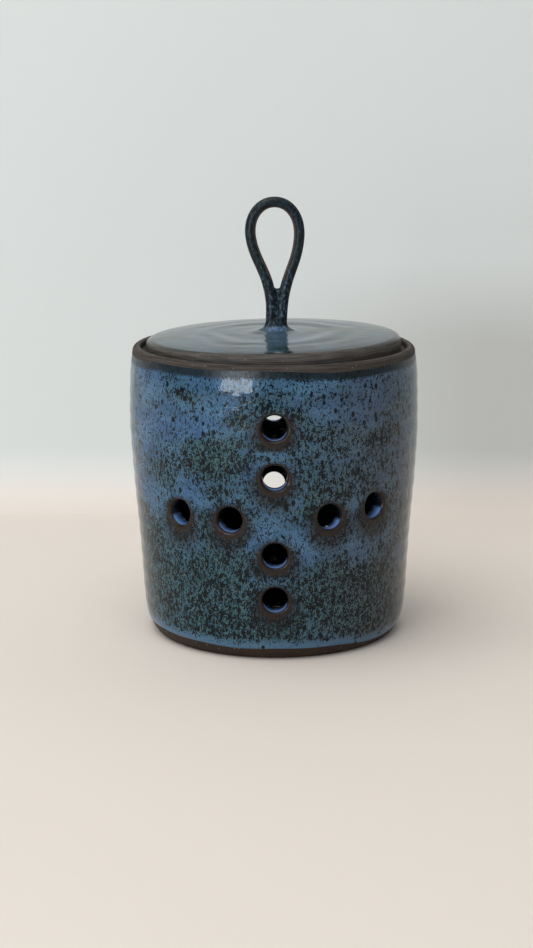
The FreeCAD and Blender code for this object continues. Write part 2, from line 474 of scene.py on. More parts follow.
def foot_line_at(angle):
    """Height of the glaze's wavy lower edge; it hangs lower on the right."""
    wave = 0.45 * np.sin(2 * angle + 0.6) + 0.28 * np.sin(5 * angle + 2.0) + 0.14 * np.sin(11 * angle)
    dip_at_right = 1.4 * ramp(np.cos(angle + 0.2), 0.6, 1.0)
    return GLAZE_FOOT_LINE + wave - dip_at_right


def shape_glaze_and_lean(co):
    radius, angle = polar(co)
    height, line = co[:, 2], foot_line_at(angle)
    outside = (radius > STEP_INNERMOST) & (height > STEP_LOWEST) & (height < STEP_FADE[1])
    proud = GLAZE_STEP * ramp(height, line - STEP_SOFTNESS, line + STEP_SOFTNESS) - GLAZE_STEP
    proud = np.where(outside, proud * (1 - ramp(height, *STEP_FADE)), 0.0)
    scale = 1 + proud / np.maximum(radius, 1)
    co[:, :2] *= scale[:, None]
    co[:, 0] += lean_at(height)
    return co


jar_blank = spin("jar_blank", jar_line)
reshape(jar_blank.data, shape_glaze_and_lean)

# %% [markdown]
# Vent holes repeat, so Geometry Nodes cut them. One cutter, a bore with a trumpet mouth, is placed at every
# vent by Instance on Points, and one Mesh Boolean takes all of them away. The same tree first gives the wall
# its throwing rings and its slight wobble, with a fixed seed, so that the pot looks made by a hand.

# %% vents: places and the cutter
# heights of the upright row, then degrees round from the front and heights of the level row
UPRIGHT_VENTS = [97.0, 76.9, 44.5, 25.8]
LEVEL_VENTS = [(-41.0, 59.4), (-18.1, 58.9), (22.2, 59.9), (43.5, 61.9)]
BACK_RISE = 5.8
BORE_RADIUS = 5.0
CUTTER_BACK = -9.5
CUTTER_SIDES = 56
# the trumpet mouth of a vent: how far outside the wall, and the radius there
VENT_MOUTH = [(-2.0, BORE_RADIUS), (-1.45, 5.04), (-0.95, 5.18), (-0.5, 5.42), (-0.12, 5.78), (0.2, 6.3),
              (0.5, 7.0), (2.5, 7.6)]


def vent_list():
    """Degrees round from the front and height of every vent, front cross and back cross."""
    front = [(0.0, height) for height in UPRIGHT_VENTS] + LEVEL_VENTS
    back = [(180.0 + turn, height + BACK_RISE) for turn, height in front]
    return front + back


def wall_radius(height):
    radii, heights = zip(*OUTER_WALL[::-1])
    return np.interp(height, heights, radii)


def vent_direction(turn):
    angle = math.radians(turn)
    return np.array([math.sin(angle), -math.cos(angle), 0.0])


def stack_rings(name, rings):
    """Closed mesh through a stack of rings, each with as many places, in millimetres."""
    sides, last = len(rings[0]), len(rings) - 1
    places = [tuple(part * MM for part in place) for ring in rings for place in ring]
    faces = [tuple(range(sides))[::-1]]
    for row in range(last):
        low, high = row * sides, (row + 1) * sides
        for side in range(sides):
            beside = (side + 1) % sides
            faces.append((low + side, low + beside, high + beside, high + side))
    faces.append(tuple(last * sides + side for side in range(sides)))
    return new_mesh(name, places, faces)


def make_cutter():
    turns = [2 * math.pi * side / CUTTER_SIDES for side in range(CUTTER_SIDES)]
    rings = [[(x, radius * math.cos(turn), radius * math.sin(turn)) for turn in turns]
             for x, radius in [(CUTTER_BACK, BORE_RADIUS)] + VENT_MOUTH]
    mesh = stack_rings("vent_cutter", rings)
    face_outwards(mesh)
    return placed("vent_cutter", mesh)


def make_vent_points():
    places, turns = [], []
    for turn, height in vent_list():
        place = vent_direction(turn) * wall_radius(height)
        places.append(((place[0] + lean_at(height)) * MM, place[1] * MM, height * MM))
        turns += [0.0, 0.0, math.radians(turn - 90.0)]
    mesh = new_mesh("vent_points", places, [])
    layer = mesh.attributes.new("turn", "FLOAT_VECTOR", "POINT")
    layer.data.foreach_set("vector", turns)
    return placed("vent_points", mesh)


print("vents to cut:", len(vent_list()))

# %% [markdown]
# A Geometry Nodes tree is built like a shader: add nodes, link sockets. Its named inputs are the numbers a
# potter would speak of. A modifier input is set by the socket's identifier before anything is evaluated.

# %% the hand-thrown tree
FULL_TURN = 6.283
RING_DRIFT = 7.0
RING_DRIFT_SCALE = 35.0
# where the rings fade in above the foot and out below the gallery, in metres
FOOT_FADE = (0.006, 0.02)
RIM_FADE = (0.117, 0.100)


def new_group(name, kind, inputs, outputs):
    """A node group, its inputs' identifiers by name, and where values come in and go out."""
    group = bpy.data.node_groups.new(name, kind)
    names = {}
    for label, socket in inputs.items():
        item = group.interface.new_socket(label, in_out="INPUT", socket_type="NodeSocket" + socket)
        names[label] = item.identifier
    for label, socket in outputs.items():
        group.interface.new_socket(label, in_out="OUTPUT", socket_type="NodeSocket" + socket)
    source = group.nodes.new("NodeGroupInput")
    drain = group.nodes.new("NodeGroupOutput")
    return group, names, source.outputs, drain.inputs


def new_tree(name, inputs):
    geometry = {"Geometry": "Geometry"}
    return new_group(name, "GeometryNodeTree", {**geometry, **inputs}, geometry)


def apply_tree(piece, tree_and_names, values, name):
    """Run the tree on a piece and return a plain mesh object of the result."""
    tree, names = tree_and_names
    modifier = piece.modifiers.new(tree.name, "NODES")
    modifier.node_group = tree
    for label, value in values.items():
        modifier[names[label]] = value
    mesh = frozen(piece, name)
    bpy.data.objects.remove(piece)
    print(name, "has", len(mesh.polygons), "faces")
    return placed(name, mesh)


def finish_tree(tree, geometry, material_socket, drain):
    smooth = add(tree, "GeometryNodeSetShadeSmooth", Geometry=geometry)
    plain = add(tree, "GeometryNodeRealizeInstances", Geometry=smooth.outputs[0])
    coloured = add(tree, "GeometryNodeSetMaterial", Geometry=plain.outputs[0], Material=material_socket)
    plug(drain["Geometry"], coloured.outputs[0])


def from_axis(parts, operation):
    """The level way out from the wheel's axis, made one unit long or measured."""
    tree = parts["X"].id_data
    flat = add(tree, "ShaderNodeCombineXYZ", X=parts["X"], Y=parts["Y"])
    node = add(tree, "ShaderNodeVectorMath", {"operation": operation})
    plug(node.inputs[0], flat.outputs[0])
    return node.outputs


def thrown_wall_tree():
    """Throwing rings and wobble pushed out from the axis, then the vents cut."""
    tree, names, source, drain = new_tree("hand_thrown_wall", {
        "Ring Height": "Float", "Ring Spacing": "Float", "Wobble": "Float", "Wobble Size": "Float",
        "Seed": "Float", "Vent Points": "Object", "Vent Cutter": "Object", "Material": "Material"})
    place = add(tree, "GeometryNodeInputPosition").outputs[0]
    parts = axes(place)
    outward = from_axis(parts, "NORMALIZE")["Vector"]
    climb = calc("DIVIDE", parts["Z"], source["Ring Spacing"])
    drift = add(tree, "ShaderNodeTexNoise", Vector=place, Scale=RING_DRIFT_SCALE, Detail=1.0).outputs[0]
    rings = calc("SINE", plus(times(climb, FULL_TURN), times(drift, RING_DRIFT)))
    rings = times(rings, source["Ring Height"])
    swell = add(tree, "ShaderNodeTexNoise", {"noise_dimensions": "4D"}, Vector=place, W=source["Seed"],
                Detail=1.0)
    plug(swell.inputs["Scale"], calc("DIVIDE", 1.0, source["Wobble Size"]))
    swell = about_zero(swell.outputs[0], source["Wobble"])
    between = times(soft_step(parts["Z"], *FOOT_FADE), soft_step(parts["Z"], *RIM_FADE))
    amount = times(plus(rings, swell), between)
    push = add(tree, "ShaderNodeVectorMath", {"operation": "SCALE"}, Scale=amount)
    plug(push.inputs[0], outward)
    moved = add(tree, "GeometryNodeSetPosition", Geometry=source["Geometry"], Offset=push.outputs[0])
    points = add(tree, "GeometryNodeObjectInfo", Object=source["Vent Points"])
    cutter = add(tree, "GeometryNodeObjectInfo", Object=source["Vent Cutter"])
    turn = add(tree, "GeometryNodeInputNamedAttribute", {"data_type": "FLOAT_VECTOR"}, Name="turn")
    cutters = add(tree, "GeometryNodeInstanceOnPoints", Points=points.outputs["Geometry"],
                  Instance=cutter.outputs["Geometry"], Rotation=turn.outputs[0])
    loose = add(tree, "GeometryNodeRealizeInstances", Geometry=cutters.outputs[0])
    cut = add(tree, "GeometryNodeMeshBoolean", {"operation": "DIFFERENCE", "solver": "EXACT"})
    plug(cut.inputs[0], moved.outputs[0])
    plug(cut.inputs[1], loose.outputs[0])
    finish_tree(tree, cut.outputs[0], source["Material"], drain)
    return tree, names

# %% [markdown]
# Two effects turn up on both the jar and the lid, so each is a node group. The speckle group makes the dark
# grains of a reactive glaze, drawn out downwards as it melts. The clay group makes bare brown stoneware with
# pale grog, greyed where asked by a painted sheen. Both read the piece's own Object coordinates, so the
# pattern stays put on the pot.

# %% shared shader groups
# sizes in millimetres across
FINE_GRAIN = 0.47
COARSE_GRAIN = 1.15
GRAIN_CLUMP = 5.0
CLAY_CLOUD = 6.0
CLAY_SAND = 0.45
CLAY_BROWN, CLAY_LIGHT_BROWN = srgb(36, 24, 18), srgb(60, 44, 34)
# the grey laid over bare clay is a painted sheen
CLAY_PAINTED_SHEEN, CLAY_GROOVE, GROG = srgb(92, 90, 86), srgb(34, 26, 21), srgb(150, 136, 118)


def scattered(vector, scale):
    """Loose cells to put a dot in, and a number of its own for each, to choose a few."""
    group = vector.id_data
    cells = add(group, "ShaderNodeTexVoronoi", Vector=vector, Scale=scale, Randomness=1.0).outputs
    return cells, add(group, "ShaderNodeSeparateColor", Color=cells["Color"]).outputs[0]


def speckle_group():
    """Density 0 to 1 sets how much of the surface the dark grains cover."""
    group, _, source, drain = new_group("reactive_speckle", "ShaderNodeTree",
                                        {"Vector": "Vector", "Density": "Float"},
                                        {"Grains": "Float", "Spots": "Float"})
    melted = stretched(source["Vector"], (1.0, 1.0, 0.62))
    fine = noise(melted, FINE_GRAIN, 2.0, 0.6)
    coarse = noise(melted, COARSE_GRAIN, 1.0, 0.5)
    clumps = noise(source["Vector"], GRAIN_CLUMP, 2.0)
    mixed = plus(times(fine, 0.52), times(coarse, 0.33))
    mixed = plus(mixed, times(clumps, 0.15))
    edge = calc("SUBTRACT", 0.635, times(source["Density"], 0.145))
    grains = soft_step(mixed, edge, plus(edge, 0.024))
    cells, chosen = scattered(stretched(source["Vector"], (1.0, 1.0, 0.7)), 0.42)
    share = plus(0.10, times(source["Density"], 0.16))
    wanted = calc("LESS_THAN", chosen, share)
    ragged = plus(cells["Distance"], times(fine, 0.22))
    spots = times(soft_step(ragged, 0.50, 0.40), wanted)
    plug(drain["Grains"], grains)
    plug(drain["Spots"], spots)
    return group


def clay_group():
    """The sheen share, 0 to 1, greys the brown clay as a painted sheen."""
    group, _, source, drain = new_group("bare_stoneware", "ShaderNodeTree",
                                        {"Vector": "Vector", "Paleness": "Float"},
                                        {"Color": "Color", "Height": "Float"})
    cloudy = noise(source["Vector"], CLAY_CLOUD, 3.0)
    sandy = noise(source["Vector"], CLAY_SAND, 3.0, 0.65)
    turned = noise(stretched(source["Vector"], (0.08, 0.08, 2.2)), 1.0, 2.0)
    cells, chosen = scattered(source["Vector"], 0.62)
    wanted = calc("LESS_THAN", chosen, 0.22)
    grog = times(wanted, soft_step(cells["Distance"], 0.26, 0.16))
    plug(drain["Color"], coats(
        blend(cloudy, CLAY_BROWN, CLAY_LIGHT_BROWN), (CLAY_PAINTED_SHEEN, source["Paleness"], 1),
        (CLAY_GROOVE, soft_step(turned, 0.42, 0.62), 0.6), (GROG, grog, 0.32)))
    plug(drain["Height"], plus(sandy, times(grog, 0.5)))
    return group


SPECKLE = speckle_group()
CLAY = clay_group()


def use_group(tree, group, **sockets):
    node = add(tree, "ShaderNodeGroup", {"node_tree": group}, **sockets)
    return node.outputs


def object_millimetres(tree):
    return stretched(add(tree, "ShaderNodeTexCoord").outputs["Object"], (1 / MM, 1 / MM, 1 / MM))


def glaze_and_clay_relief(tree, shader, height, strength, clay, bare):
    """Soft swells of the melted glaze, and the grit of the clay where it is bare."""
    glaze_bump = add(tree, "ShaderNodeBump", Strength=strength, Distance=0.4 * MM, Height=height)
    clay_bump = add(tree, "ShaderNodeBump", Distance=0.25 * MM, Height=clay["Height"],
                    Normal=glaze_bump.outputs[0])
    plug(clay_bump.inputs["Strength"], times(bare, 0.6))
    plug(shader.inputs["Normal"], clay_bump.outputs[0])


print("shared groups:", SPECKLE.name, "and", CLAY.name)

# %% [markdown]
# The jar's glaze is a cornflower blue that breaks to teal and brown. Broad lazy patches choose between quiet
# blue and busy speckle. Round each vent it thins and the brown clay shows, under the rim it thins to a dark
# band that is darkened further as painted shade, and above the foot it pools in a plain blue one. The layers
# are laid from the bottom coat upwards.

# %% jar glaze material
BLUE = srgb(64, 92, 128)
PALE_BLUE = srgb(80, 112, 143)
DEEP_BLUE = srgb(26, 66, 122)
TEAL = srgb(28, 68, 80)
OLIVE_GREY = srgb(70, 92, 91)
# warm grey for the right side: partly the glaze's own colour, partly a painted reflection
WARM_GREY_AND_PAINTED_REFLECTION = srgb(78, 80, 80)
NIGHT_TEAL = srgb(2, 11, 15)
THIN_BROWN = srgb(37, 28, 23)
# the dark band under the rim: thin glaze, darkened further as painted shade
RIM_THIN_AND_PAINTED_SHADE = srgb(10, 19, 21)
# near black inside the jar: painted shade for the unlit hollow, drifting into a dark blue lining
INSIDE_PAINTED_SHADE = srgb(14, 18, 22)
INSIDE_BLUE = srgb(34, 50, 66)
# pale blue in the lower half of each vent's bore: pooled glaze, lightened further as painted light where the
# bore lies in shade
BORE_POOL_AND_PAINTED_LIGHT = srgb(104, 138, 194)
# sizes of the glaze's markings, in millimetres across
PATCH_SIZE = 30.0
DRIFT_SIZE = 24.0
MOTTLE_SIZE = 0.55
PEEL_SIZE = 5.0


def how_busy(tree, place, parts, near_rim, halo):
    """How thick with speckle the glaze is, 0 to 1: in patches, low on the pot and round the vents."""
    patches = noise(stretched(place, (1.0, 1.0, 1.7), (9.0, 4.0, 31.0)), PATCH_SIZE, 4.0, 0.6)
    patches = plus(about_zero(patches, 0.8), 0.5)
    low = soft_step(parts["Z"], 58.0, 24.0)
    more = plus(times(low, 0.14), times(near_rim, -0.04))
    more = plus(more, times(attribute(tree, "glaze_patch"), 0.22))
    busy = soft_step(plus(patches, more), 0.38, 0.68)
    return calc("MAXIMUM", busy, times(halo, 0.9))


def jar_coats(tree, place, parts, near_rim, milky, thinned):
    """The jar's colour, coat over coat, from the quiet ground to the brown where the glaze runs thin."""
    halo, pooled = attribute(tree, "vent_halo"), attribute(tree, "foot_pool")
    busy = how_busy(tree, place, parts, near_rim, halo)
    unpooled = calc("SUBTRACT", 1.0, times(pooled, 0.7))
    density = times(soft_step(busy, 0.0, 1.0, 0.66, 1.10), unpooled)
    speckle = use_group(tree, SPECKLE, Vector=place, Density=density)
    drift = noise(stretched(place, (1.0, 1.0, 3.0), (5.0, 0.0, 8.0)), DRIFT_SIZE, 3.0)
    drifted = soft_step(drift, 0.40, 0.62)
    # greyer and warmer towards the right: partly glaze colour, partly a painted reflection on that side
    right_glaze_and_painted_reflection = soft_step(parts["X"], 2.0, 50.0)
    scorched = times(halo, soft_step(milky, 0.40, 0.56, 0.40, 1.0))
    quiet = coats(
        blend(drifted, BLUE, PALE_BLUE), (TEAL, soft_step(milky, 0.45, 0.60), 0.72),
        (DEEP_BLUE, attribute(tree, "deep_streak"), 1), (WARM_GREY_AND_PAINTED_REFLECTION, right_glaze_and_painted_reflection, 0.45))
    ground = coats(blend(soft_step(milky, 0.43, 0.57), TEAL, OLIVE_GREY), (WARM_GREY_AND_PAINTED_REFLECTION, right_glaze_and_painted_reflection, 0.6))
    # the inside is painted dark as painted shade in the hollow, with dark grains
    lining_with_painted_shade = coats(blend(drifted, INSIDE_PAINTED_SHADE, INSIDE_BLUE), (NIGHT_TEAL, speckle["Grains"], 0.8))
    return coats(
        quiet, (ground, busy, 0.9), (PALE_BLUE, pooled, 0.6), (THIN_BROWN, scorched, 1),
        (NIGHT_TEAL, speckle["Grains"], 0.98), (NIGHT_TEAL, speckle["Spots"], 0.96),
        (blend(near_rim, THIN_BROWN, RIM_THIN_AND_PAINTED_SHADE), thinned, 0.9),
        (lining_with_painted_shade, attribute(tree, "inside"), 1), (BORE_POOL_AND_PAINTED_LIGHT, attribute(tree, "vent_bore_pool_and_painted_light"), 1))


def jar_material():
    material, tree, shader = surface_material("jar_reactive_glaze")
    place = object_millimetres(tree)
    parts = axes(place)
    near_rim = soft_step(parts["Z"], 106.0, 115.0)
    milky = noise(stretched(place, (1.0, 1.0, 0.6), (3.0, 60.0, 5.0)), MOTTLE_SIZE, 2.0, 0.6)
    ripped = about_zero(milky, 0.9)
    thinned = soft_step(plus(attribute(tree, "thin_glaze"), ripped), 0.32, 0.72)
    # the bare rim clay is greyed towards the rim as a painted sheen
    clay = use_group(tree, CLAY, Vector=place, Paleness=times(near_rim, 0.3))
    bare = soft_step(plus(attribute(tree, "bare_clay"), times(ripped, 0.5)), 0.42, 0.58)
    colour = jar_coats(tree, place, parts, near_rim, milky, thinned)
    plug(shader.inputs["Base Color"], blend(bare, colour, clay["Color"]))
    gloss = soft_step(milky, 0.3, 0.8, 0.06, 0.15)
    gloss = plus(gloss, times(thinned, 0.2))
    gloss = plus(gloss, times(bare, 0.5))
    plug(shader.inputs["Roughness"], gloss)
    peel = noise(place, PEEL_SIZE, 2.0)
    height = plus(times(peel, 1.2), times(milky, 0.025))
    glaze_and_clay_relief(tree, shader, height, 0.5, clay, bare)
    return material


jar_glaze = jar_material()
print(jar_glaze.name, "has", len(jar_glaze.node_tree.nodes), "nodes")

# %% [markdown]
# Now the jar itself. The tree is run with a potter's numbers: rings a hair high and 7.5 mm apart, and a wall
# that swells by up to half a millimetre. The cutter and the vent places it read are then thrown away.

# %% make the jar
cutter, vent_points = make_cutter(), make_vent_points()
cutter.hide_render = vent_points.hide_render = True
jar = apply_tree(jar_blank, thrown_wall_tree(), {
    "Ring Height": 0.07 * MM, "Ring Spacing": 7.5 * MM, "Wobble": 1.1 * MM, "Wobble Size": 45.0 * MM,
    "Seed": 4.0, "Vent Points": vent_points, "Vent Cutter": cutter, "Material": jar_glaze}, "jar_thrown")
for helper in (cutter, vent_points):
    bpy.data.objects.remove(helper)

# %% [markdown]
# A real glaze runs and thins by the shape under it. So each vertex is marked with what the glaze does there:
# how near a vent, the rim or the foot it is. The marks come from the same vents and lines as the shape, so
# colour and form can't drift apart. A few soft blobs also say where the broad patches lie.

# %% mark the jar's glaze
# all in millimetres: distances from a vent's axis, heights, or depths under the skin
SKIN_DEPTH = 1.7
BORE_REACH, BORE_INNERMOST = 5.12, 45
BORE_SHINE = (1.0, 2.6)
HALO = (5.6, 12.5)
HALO_BELOW, HALO_ABOVE = -0.34, 0.45
VENT_RING = (6.0, 8.0)
# the band under the rim that thin glaze and painted shade darken
RIM_THIN_AND_SHADE_BAND = (113.0, 118.2)
RIM_BARING = (118.2, 119.6)
POOL_OVER_LINE = (1.2, 5.0)
SEAT_HEIGHT, SEAT_RADIUS = 117.0, 49.0
LINE_SOFTNESS = 0.15
NEAR_FOOT, UNDER_FOOT, NEAR_RIM = 15, 3, 100


def vent_distances(co):
    """Distance from the nearest vent's axis, and height above that axis, for every vertex."""
    best = np.full(len(co), 1e3)
    above = np.zeros(len(co))
    for turn, height in vent_list():
        way = vent_direction(turn)
        rel = co - np.array([lean_at(height), 0.0, height])
        depth = rel @ way
        across = rel - depth[:, None] * way
        distance = np.where(depth > 0, np.linalg.norm(across, axis=1), 1e3)
        above = np.where(distance < best, rel[:, 2], above)
        best = np.minimum(best, distance)
    return best, above


# where the glaze ran thick and speckled (+) or lay quiet and blue (-): degrees round from the front,
# height, half width in degrees, half height, and how strongly
GLAZE_PATCHES = [
    (-43, 95.6, 24, 4, -1.2), (31, 101, 20, 6, -0.7), (-15, 99.5, 5, 3, 0.9), (-25, 81.7, 10, 10, 1.0),
    (-51, 75, 8, 8, 0.7), (26, 87, 11, 6, 0.6), (42, 69, 5, 5, 0.6), (15, 65, 4, 6, 0.9),
    (-28, 57, 5, 9, 0.8), (-34, 68, 6, 4, -0.9), (-12, 54, 6, 5, -0.8), (-4, 51, 5, 8, -0.9),
    (40, 55, 9, 13, -0.9), (17, 49, 8, 4, -0.6), (-28, 30, 19, 17, 1.2), (32, 23, 22, 12, 1.0),
    (-9, 34, 4, 5, -0.7), (-62, 88, 10, 14, -0.6), (0, 111, 70, 5, -0.12), (148, 90, 20, 9, -0.9),
    (200, 60, 14, 14, 1.0), (175, 30, 25, 10, 0.9), (235, 80, 18, 6, -0.9), (110, 45, 16, 12, 0.8),
]
DEEP_STREAKS = [(-10.6, 83, 2.0, 6, 1.2), (-30, 92, 3, 3, 0.5), (-22, 47, 2, 4, 0.5),
                (190, 70, 2.5, 6, 0.7)]


def brushed(patches, degrees, height):
    """Sum of soft blobs, with the seam of the circle taken care of."""
    total = np.zeros(len(height))
    for turn, middle, wide, tall, strength in patches:
        across = (degrees - turn + 180.0) % 360.0 - 180.0
        total += strength * np.exp(-((across / wide) ** 2 + ((height - middle) / tall) ** 2))
    return total


def mark_jar(mesh):
    co = places_of(mesh)
    height = co[:, 2]
    radius = np.hypot(co[:, 0] - lean_at(height), co[:, 1])
    angle = np.arctan2(co[:, 1], co[:, 0])
    outer = radius > wall_radius(height) - SKIN_DEPTH
    distance, above = vent_distances(co)
    stretch_down = distance + np.where(above < 0, HALO_BELOW, HALO_ABOVE) * np.abs(above)
    mark(mesh, "vent_halo", np.where(outer, 1 - ramp(stretch_down, *HALO), 0))
    ring = 1 - ramp(distance + 0.15 * above, *VENT_RING)
    rim_wave = 0.5 * np.sin(3 * angle + 1) + 0.3 * np.sin(7 * angle)
    # under the rim the glaze thins and is also darkened as painted shade
    rim_thin_and_painted_shade = ramp(height - rim_wave, *RIM_THIN_AND_SHADE_BAND)
    mark(mesh, "thin_glaze", np.where(outer, np.maximum(ring, rim_thin_and_painted_shade), 0))
    line = foot_line_at(angle)
    mark(mesh, "foot_pool", np.where(outer, 1 - ramp(height - line, *POOL_OVER_LINE), 0))
    degrees = np.degrees(np.arctan2(co[:, 0], -co[:, 1]))
    mark(mesh, "glaze_patch", brushed(GLAZE_PATCHES, degrees, height))
    mark(mesh, "deep_streak", brushed(DEEP_STREAKS, degrees, height))
    # the lower part of each bore gets pooled glaze and painted light
    in_bore = (distance < BORE_REACH) & (radius > BORE_INNERMOST)
    mark(mesh, "vent_bore_pool_and_painted_light", np.where(in_bore, ramp(-above, *BORE_SHINE), 0.0))
    seat = (height > SEAT_HEIGHT) & (radius > SEAT_RADIUS)
    mark(mesh, "inside", np.where(~outer & ~seat & (height > UNDER_FOOT), 1.0, 0.0))
    foot_bare = 1 - ramp(height, line - LINE_SOFTNESS, line + LINE_SOFTNESS)
    under = np.where(height < UNDER_FOOT, 1, 0)
    bare = np.where(radius > FOOT_EDGE - 0.6, foot_bare, under) * (height < NEAR_FOOT)
    rim_bare = np.where(height > NEAR_RIM, ramp(height - rim_wave, *RIM_BARING), 0)
    bare = np.maximum(bare, np.where(seat & ~outer, 1.0, rim_bare))
    mark(mesh, "bare_clay", bare)
    print("bare clay on", round(100 * float(np.mean(bare > 0.5))), "% of the jar's vertices")


mark_jar(jar.data)
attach(jar, "jar")
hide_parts("jar")

# %% [markdown]
# The lid is a thrown disc. Its top falls gently from the handle's seat to a soft edge, with a faint ripple
# left by a fingertip, and its edge is bare clay. One small tree lifts the ripple and the slight warp that the
# kiln gave it, again with named inputs.

# %% lid shape
LID_RADIUS = 53.2
LID_THICKNESS = 6.4
UNDERSIDE = 119.7
RIPPLE_DRIFT, RIPPLE_DRIFT_SCALE = 2.2, 24.0
# where the ripples fade in round the handle's foot and out before the edge, in metres from the middle
SEAT_FADE = (0.007, 0.012)
EDGE_FADE = (0.048, 0.030)
LID_TOP = [(0.0, 127.35), (4.0, 127.35), (6.6, 127.25), (9.8, 126.75), (14.0, 126.4), (20.0, 126.3),
           (27.0, 126.4), (39.0, 125.9), (46.0, 125.45), (49.6, 125.0)]

lid_line = joined(
    smooth_line(LID_TOP, 0.9),
    round_corner((LID_RADIUS, 125.0), (49.6, 125.0), (LID_RADIUS, 122.2), 9),
    smooth_line([(LID_RADIUS, 122.2), (LID_RADIUS - 0.15, 121.0), (LID_RADIUS, 119.4)], 0.6),
    round_corner((LID_RADIUS, LEDGE), (LID_RADIUS, 119.4), (52.3, LEDGE)),
    smooth_line([(52.3, LEDGE), (46.3, LEDGE)], 1.5),
    smooth_line([(46.3, LEDGE), (42.3, UNDERSIDE)], 1.0),
    smooth_line([(42.3, UNDERSIDE), (20.0, UNDERSIDE), (0.0, UNDERSIDE)], 3.0),
)
print("lid profile has", len(lid_line), "points")


def thrown_disc_tree():
    """Finger ripples that fade outwards, and a warp that leaves the underside flat."""
    tree, names, source, drain = new_tree("hand_thrown_disc", {
        "Ripple Height": "Float", "Ripple Spacing": "Float", "Warp": "Float", "Warp Size": "Float",
        "Seat Height": "Float", "Thickness": "Float", "Material": "Material"})
    place = add(tree, "GeometryNodeInputPosition").outputs[0]
    parts = axes(place)
    reach = from_axis(parts, "LENGTH")["Value"]
    lifted = calc("SUBTRACT", parts["Z"], source["Seat Height"])
    top = soft_step(calc("DIVIDE", lifted, source["Thickness"]), 0.55, 0.95)
    drift = add(tree, "ShaderNodeTexNoise", Vector=place, Scale=RIPPLE_DRIFT_SCALE, Detail=1.0).outputs[0]
    drift = times(drift, RIPPLE_DRIFT)
    phase = plus(calc("DIVIDE", reach, source["Ripple Spacing"]), drift)
    wave = calc("SINE", times(phase, FULL_TURN))
    fade = times(soft_step(reach, *SEAT_FADE), soft_step(reach, *EDGE_FADE))
    ripple = times(times(wave, fade), source["Ripple Height"])
    warp = times(parts["X"], calc("DIVIDE", source["Warp"], source["Warp Size"]))
    rise = times(plus(ripple, warp), top)
    push = add(tree, "ShaderNodeCombineXYZ", Z=rise)
    moved = add(tree, "GeometryNodeSetPosition", Geometry=source["Geometry"], Offset=push.outputs[0])
    finish_tree(tree, moved.outputs[0], source["Material"], drain)
    return tree, names

# %% [markdown]
# The lid's glaze is the quieter cousin of the jar's: dull teal clouds, a milky bloom and fine grains. It was
# wiped back from the edge in a wavy ring, and it goes thin and dark just before it stops at the bare clay.

# %% lid glaze
LID_TEAL, LID_BLUE = srgb(24, 37, 39), srgb(56, 76, 90)
LID_BLOOM, LID_THIN = srgb(70, 92, 98), srgb(15, 18, 16)
LID_CLOUD, LID_MOTTLE, LID_PEEL = 22.0, 0.9, 6.0
WIPED_RADIUS = 50.5
WIPED_SOFTNESS = 0.4
THIN_BAND = (3.2, 0.6)
LOWER_FACE = 120.5


def lid_material():
    material, tree, shader = surface_material("lid_satin_blue_glaze")
    place = object_millimetres(tree)
    clouds = noise(stretched(place, (1.0, 1.0, 1.0), (20.0, 7.0, 0.0)), LID_CLOUD, 3.0)
    milky = noise(place, LID_MOTTLE, 2.0, 0.6)
    speckle = use_group(tree, SPECKLE, Vector=place, Density=0.62)
    ragged = plus(attribute(tree, "thin_glaze"), about_zero(milky, 0.8))
    # the lid's bare edge is greyed all round as a painted sheen
    clay = use_group(tree, CLAY, Vector=place, Paleness=0.52)
    bare = attribute(tree, "bare_clay")
    plug(shader.inputs["Base Color"], coats(
        blend(soft_step(clouds, 0.40, 0.60), LID_TEAL, LID_BLUE),
        (LID_BLOOM, soft_step(milky, 0.46, 0.62), 0.55), (NIGHT_TEAL, speckle["Grains"], 0.6),
        (LID_THIN, soft_step(ragged, 0.40, 0.62), 1), (clay["Color"], bare, 1)))
    gloss = plus(soft_step(clouds, 0.3, 0.7, 0.10, 0.17), times(bare, 0.55))
    plug(shader.inputs["Roughness"], gloss)
    glaze_and_clay_relief(tree, shader, noise(place, LID_PEEL, 1.0), 0.25, clay, bare)
    return material


def mark_lid(mesh):
    co = places_of(mesh)
    radius, angle = polar(co)
    wave = 0.35 * np.sin(2 * angle + 0.5) + 0.2 * np.sin(5 * angle) + 0.12 * np.sin(9 * angle + 2)
    wiped = WIPED_RADIUS + 2.2 * (co[:, 0] / LID_RADIUS) ** 2 + 0.7 * wave
    start, end = THIN_BAND
    under = co[:, 2] < LOWER_FACE
    bare = ramp(radius, wiped - WIPED_SOFTNESS, wiped + WIPED_SOFTNESS)
    mark(mesh, "bare_clay", np.where(under, 1.0, bare))
    mark(mesh, "thin_glaze", np.where(under, 0.0, ramp(radius, wiped - start, wiped - end)))


lid = apply_tree(spin("lid_blank", lid_line), thrown_disc_tree(), {
    "Ripple Height": 0.11 * MM, "Ripple Spacing": 13.0 * MM, "Warp": 1.0 * MM,
    "Warp Size": LID_RADIUS * MM, "Seat Height": LEDGE * MM, "Thickness": LID_THICKNESS * MM,
    "Material": lid_material()}, "lid_thrown")
mark_lid(lid.data)
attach(lid, "lid")
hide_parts("lid")

# %% [markdown]
# The handle is one rolled coil. A tree sweeps a soft oval along the loop's path, thicker at the legs. The
# path is written for one side only, as it opens from the touching legs up to the top of the teardrop.

